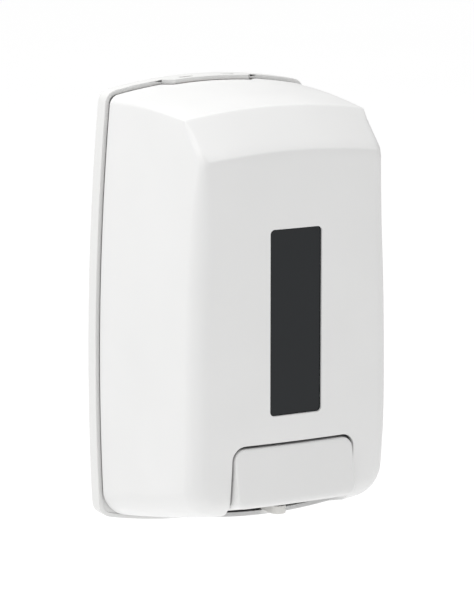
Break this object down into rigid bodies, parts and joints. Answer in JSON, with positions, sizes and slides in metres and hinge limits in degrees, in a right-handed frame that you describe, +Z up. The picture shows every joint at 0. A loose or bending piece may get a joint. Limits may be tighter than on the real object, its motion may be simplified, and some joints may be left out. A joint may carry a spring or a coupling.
{
  "type": "wall mounted soap dispenser",
  "caption": "Wall mounted push soap dispenser: hinged cover with window, sprung push bar, piston pump, refillable tank and key latch on a screwed back plate.",
  "frame": {"origin": "centre of the back plate's wall face", "axes": "+Z up, +X to the right seen from the front, the front faces -Y and the wall face looks along +Y"},
  "size_m": [0.1332, 0.1091, 0.24],
  "materials": {
    "case": "white satin ABS",
    "smoked_window": "smoked clear, glossy",
    "chassis": "light grey moulded",
    "tank": "natural translucent polyethylene",
    "pump_black": "black moulded",
    "white_part": "white acetal",
    "latch_orange": "coloured acetal",
    "rubber_seal": "black rubber",
    "silicone": "clear grey silicone",
    "steel": "stainless"
  },
  "bodies": {
    "root": {"back_plate": "case", "latch_guide": "chassis", "latch_guide_screws": "steel", "latch_spring": "steel", "pump_bracket": "chassis", "bracket_screws": "steel", "tank": "tank", "outlet_seal": "rubber_seal", "lock_nut": "chassis", "pump_body": "pump_black", "pump_end_cap": "pump_black", "pump_spring": "steel", "nozzle": "white_part", "duckbill_valve": "silicone", "cover_hinge_pins": "steel"},
    "cover": {"front_cover": "case", "cover_catch": "chassis", "window": "smoked_window", "window_frame": "chassis", "push_bar_pins": "steel", "push_bar_springs": "steel"},
    "push": {"push_bar": "case"},
    "piston": {"piston_rod": "white_part", "piston_seal": "rubber_seal"},
    "latch": {"lock_latch": "latch_orange"},
    "ball": {"inlet_ball": "steel"},
    "cap": {"fill_cap": "white_part", "fill_cap_seal": "rubber_seal"}
  },
  "joints": [
    {"name": "cover_hinge", "type": "hinge", "parent": "root", "child": "cover", "pos_m": [0, -0.0122, -0.1146], "axis": [1, 0, 0], "range_deg": [0, 95]},
    {"name": "push_bar_pivot", "type": "hinge", "parent": "cover", "child": "push", "pos_m": [0, -0.0915, -0.0674], "axis": [1, 0, 0], "range_deg": [0, 14], "stiffness_Nm_per_rad": 1.2, "springref_deg": -11.46},
    {"name": "piston_slide", "type": "slide", "parent": "root", "child": "piston", "axis": [0, 1, 0], "range_m": [0, 0.0048], "stiffness_N_per_m": 10, "springref_m": -0.003, "deforming": ["pump_spring"]},
    {"name": "latch_slide", "type": "slide", "parent": "root", "child": "latch", "axis": [0, 0, -1], "range_m": [0, 0.004], "stiffness_N_per_m": 400, "springref_m": -0.003, "deforming": ["latch_spring"]},
    {"name": "ball_lift", "type": "slide", "parent": "root", "child": "ball", "axis": [0, 0, 1], "range_m": [0, 0.0015]},
    {"name": "cap_turn", "type": "hinge", "parent": "root", "child": "cap", "pos_m": [0, -0.055, 0.085], "axis": [0, 0, 1], "range_deg": [0, 60]}
  ],
  "couplings": [
    {"joint": "piston_slide", "follows": "push_bar_pivot", "m_per_rad": 0.0186}
  ]
}
